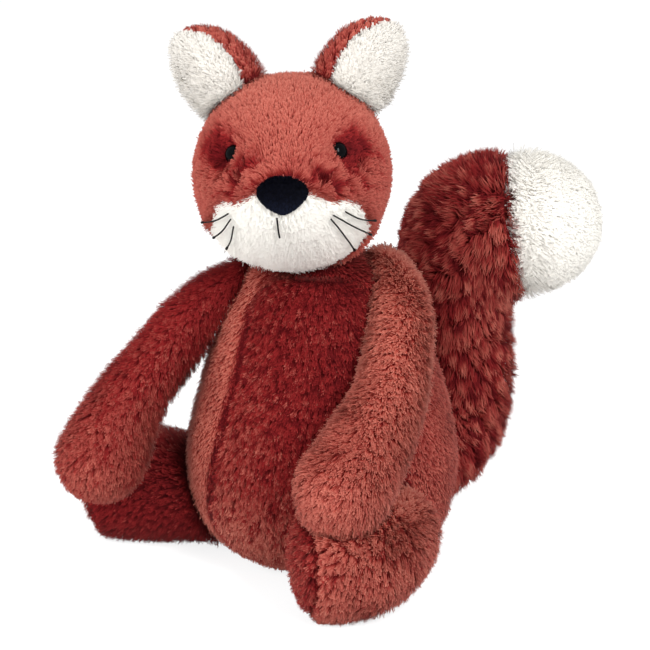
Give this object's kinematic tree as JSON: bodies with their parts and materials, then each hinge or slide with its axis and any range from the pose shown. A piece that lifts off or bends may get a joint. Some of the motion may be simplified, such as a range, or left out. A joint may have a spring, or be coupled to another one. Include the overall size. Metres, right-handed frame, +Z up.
{
  "type": "plush squirrel",
  "caption": "Seated plush squirrel with long soft arms, blunt legs, upright ears with pale linings, a pale muzzle and a thick tail folded over to a round pale end.",
  "frame": {"origin": "on the flat seat, straight below the middle of the torso, on the surface that the toy sits on", "axes": "+Z up, the toy faces -Y, and its own left side is +X"},
  "size_m": [0.223, 0.2201, 0.2326],
  "materials": {
    "rust_plush": "long soft pile",
    "rust_plush_light": "long soft pile, laid down",
    "white_plush": "long soft pile",
    "black_velour": "short dense pile",
    "black_thread": "waxed thread",
    "black_bead": "polished",
    "moulded_washer": "as moulded"
  },
  "bodies": {
    "root": {"torso": "rust_plush_light", "belly_panel": "rust_plush", "head": "rust_plush_light", "muzzle": "white_plush", "nose": "black_velour", "mouth_stitch": "black_thread", "eye_left": "black_bead", "eye_right": "black_bead", "eye_washer_left": "moulded_washer", "eye_washer_right": "moulded_washer", "ear_back_left": "rust_plush", "ear_back_right": "rust_plush", "ear_lining_left": "white_plush", "ear_lining_right": "white_plush", "arm_left": "rust_plush", "arm_right": "rust_plush", "leg_left": "rust_plush", "leg_right": "rust_plush", "sole_left": "rust_plush_light", "sole_right": "rust_plush_light", "tail": "rust_plush", "tail_tip": "white_plush", "whisker_left_1": "black_thread", "whisker_left_2": "black_thread", "whisker_left_3": "black_thread", "whisker_right_1": "black_thread", "whisker_right_2": "black_thread", "whisker_right_3": "black_thread"}
  },
  "joints": []
}
